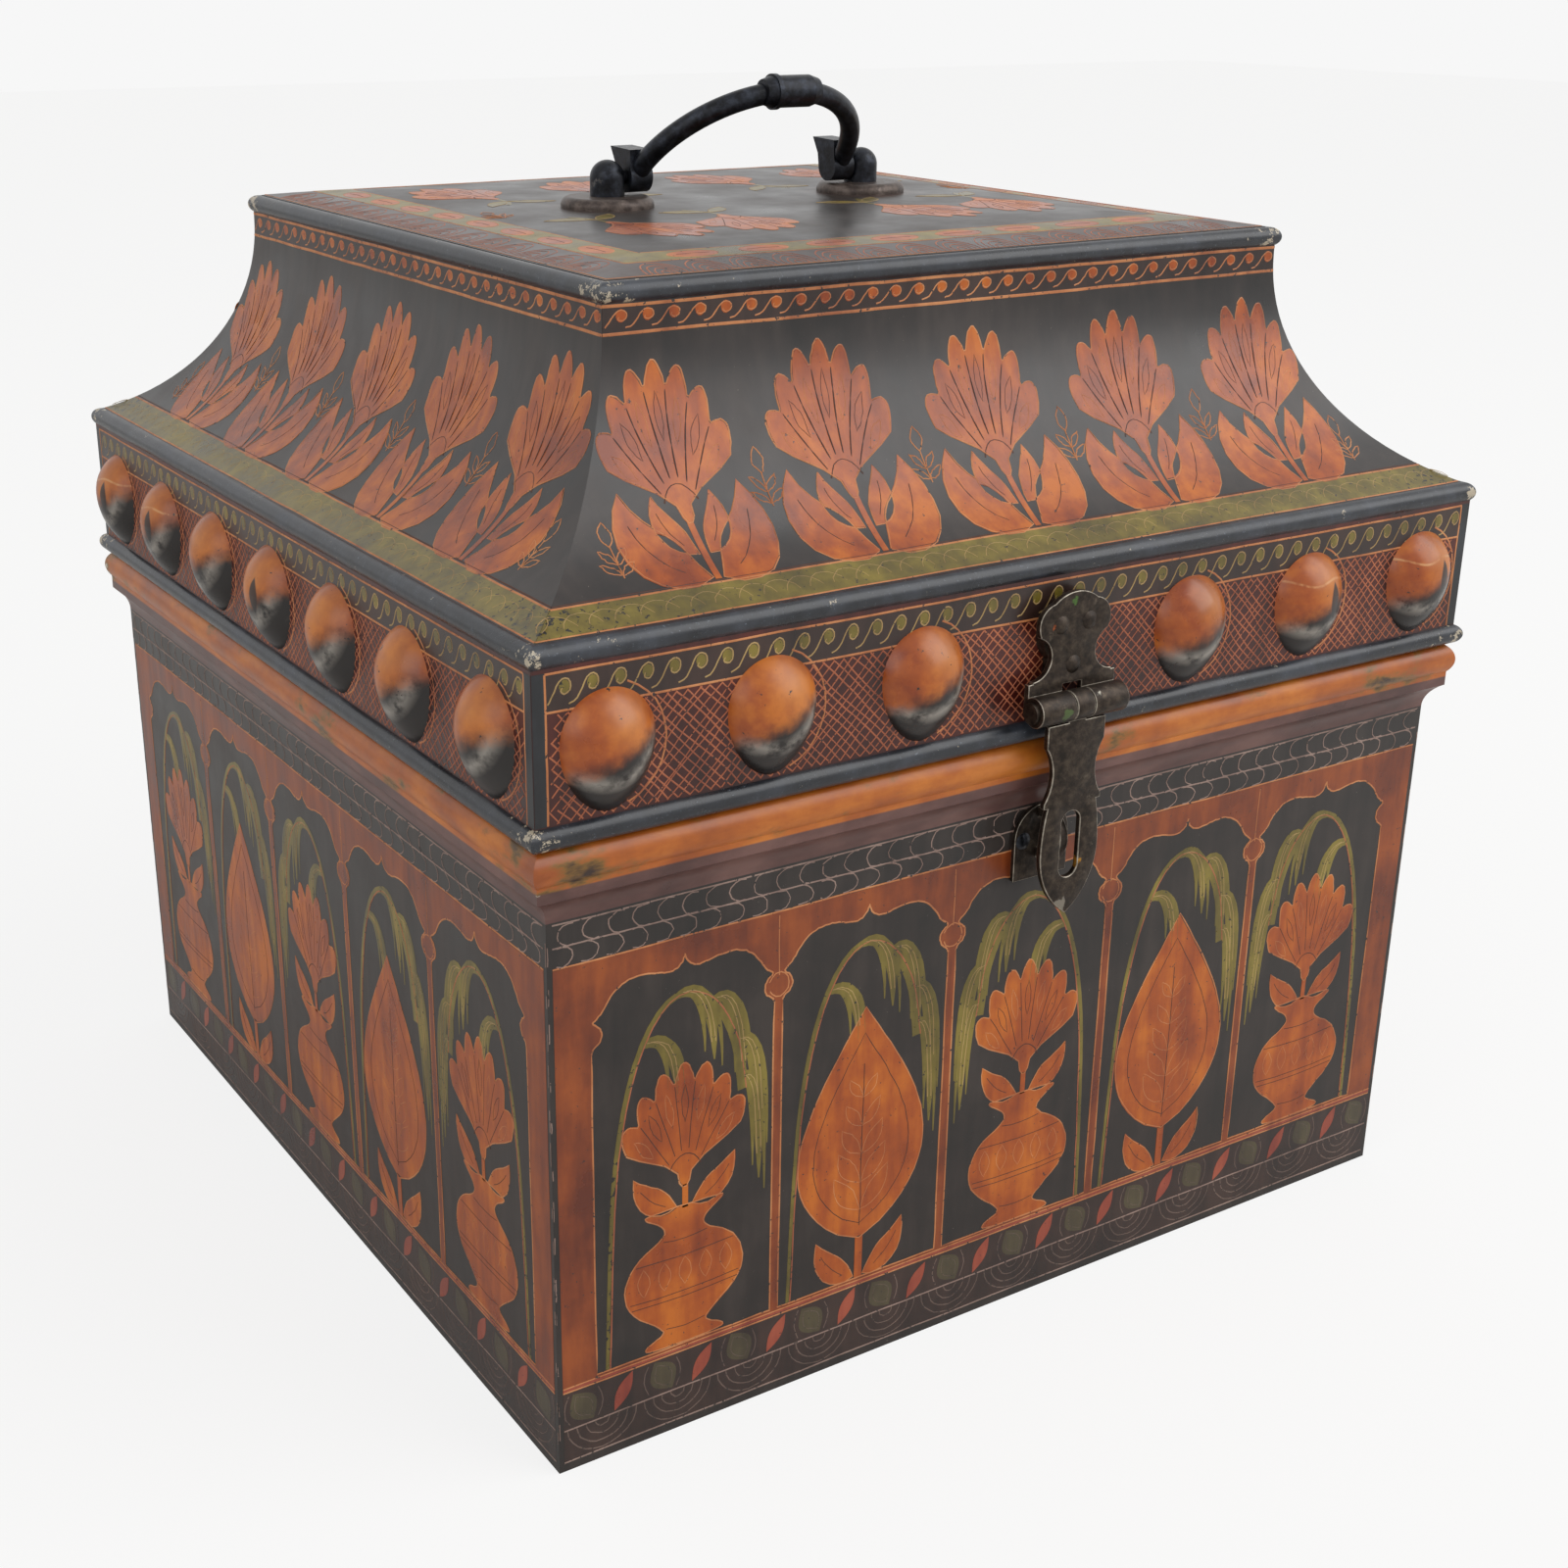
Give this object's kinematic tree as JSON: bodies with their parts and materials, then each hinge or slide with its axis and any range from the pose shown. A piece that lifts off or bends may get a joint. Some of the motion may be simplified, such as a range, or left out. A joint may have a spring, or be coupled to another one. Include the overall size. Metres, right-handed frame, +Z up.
{
  "type": "small tin trunk",
  "caption": "Small square lacquered tin trunk with a coved lid, embossed bosses, bail handle, strap hinges and a hasp with staple.",
  "frame": {"origin": "centre of the flat underside of the chest", "axes": "+Z up; -Y towards the hasp side (front); +X to the right as seen from the front"},
  "size_m": [0.335, 0.3472, 0.3482],
  "materials": {
    "wall_lacquer": "dark lacquer with orange and olive painted pattern, glossy, worn",
    "lid_lacquer": "dark lacquer with orange and olive painted pattern, glossy, worn",
    "band_lacquer": "red-brown lacquer scratched with a net of fine lines",
    "boss_lacquer": "orange lacquer, darker below",
    "bead_lacquer": "orange lacquer over a brown cavetto",
    "edge_lacquer": "black lacquer with pale chips",
    "black_iron": "dark, hand-worn iron",
    "plate_iron": "brown patinated iron",
    "hasp_iron": "dark iron with bright edges and stray paint spots",
    "bare_tin": "dull tinplate"
  },
  "bodies": {
    "chest": {"base_panel": "bare_tin", "front_wall": "wall_lacquer", "right_wall": "wall_lacquer", "back_wall": "wall_lacquer", "left_wall": "wall_lacquer", "rim_moulding_front": "bead_lacquer", "rim_moulding_right": "bead_lacquer", "rim_moulding_back": "bead_lacquer", "rim_moulding_left": "bead_lacquer", "collar_front": "bare_tin", "collar_right": "bare_tin", "collar_back": "bare_tin", "collar_left": "bare_tin", "staple_plate": "black_iron", "staple": "black_iron", "staple_rivets": "black_iron", "hinge_lower_leaf_left": "black_iron", "hinge_lower_leaf_right": "black_iron", "hinge_lower_rivets": "black_iron"},
    "lid": {"lid_band_front": "band_lacquer", "lid_band_right": "band_lacquer", "lid_band_back": "band_lacquer", "lid_band_left": "band_lacquer", "bosses_front": "boss_lacquer", "bosses_right": "boss_lacquer", "bosses_back": "boss_lacquer", "bosses_left": "boss_lacquer", "rim_roll_front": "edge_lacquer", "rim_roll_right": "edge_lacquer", "rim_roll_back": "edge_lacquer", "rim_roll_left": "edge_lacquer", "shoulder_roll_front": "edge_lacquer", "shoulder_roll_right": "edge_lacquer", "shoulder_roll_back": "edge_lacquer", "shoulder_roll_left": "edge_lacquer", "cove_front": "lid_lacquer", "cove_right": "lid_lacquer", "cove_back": "lid_lacquer", "cove_left": "lid_lacquer", "top_roll_front": "edge_lacquer", "top_roll_right": "edge_lacquer", "top_roll_back": "edge_lacquer", "top_roll_left": "edge_lacquer", "top_panel": "lid_lacquer", "handle_plate_left": "plate_iron", "handle_plate_right": "plate_iron", "handle_post_left": "black_iron", "handle_post_right": "black_iron", "post_washers": "bare_tin", "hasp_packing": "black_iron", "hasp_hinge_leaf": "hasp_iron", "hasp_pin": "black_iron", "hasp_rivets": "black_iron", "hinge_upper_leaf_left": "black_iron", "hinge_upper_leaf_right": "black_iron", "hinge_pins": "black_iron", "hinge_upper_rivets": "black_iron"},
    "handle": {"bail": "black_iron", "grip_ferrule": "black_iron"},
    "hasp": {"hasp_leaf": "hasp_iron"}
  },
  "joints": [
    {"name": "lid_hinge", "type": "hinge", "parent": "chest", "child": "lid", "pos_m": [0, 0.1682, 0.18681], "axis": [-1, 0, 0], "range_deg": [0, 110]},
    {"name": "handle_swing", "type": "hinge", "parent": "lid", "child": "handle", "pos_m": [0, 0, 0.31832], "axis": [1, 0, 0], "range_deg": [-72, 46]},
    {"name": "hasp_swing", "type": "hinge", "parent": "lid", "child": "hasp", "pos_m": [0, -0.169, 0.19401], "axis": [-1, 0, 0], "range_deg": [-9, 175]}
  ]
}
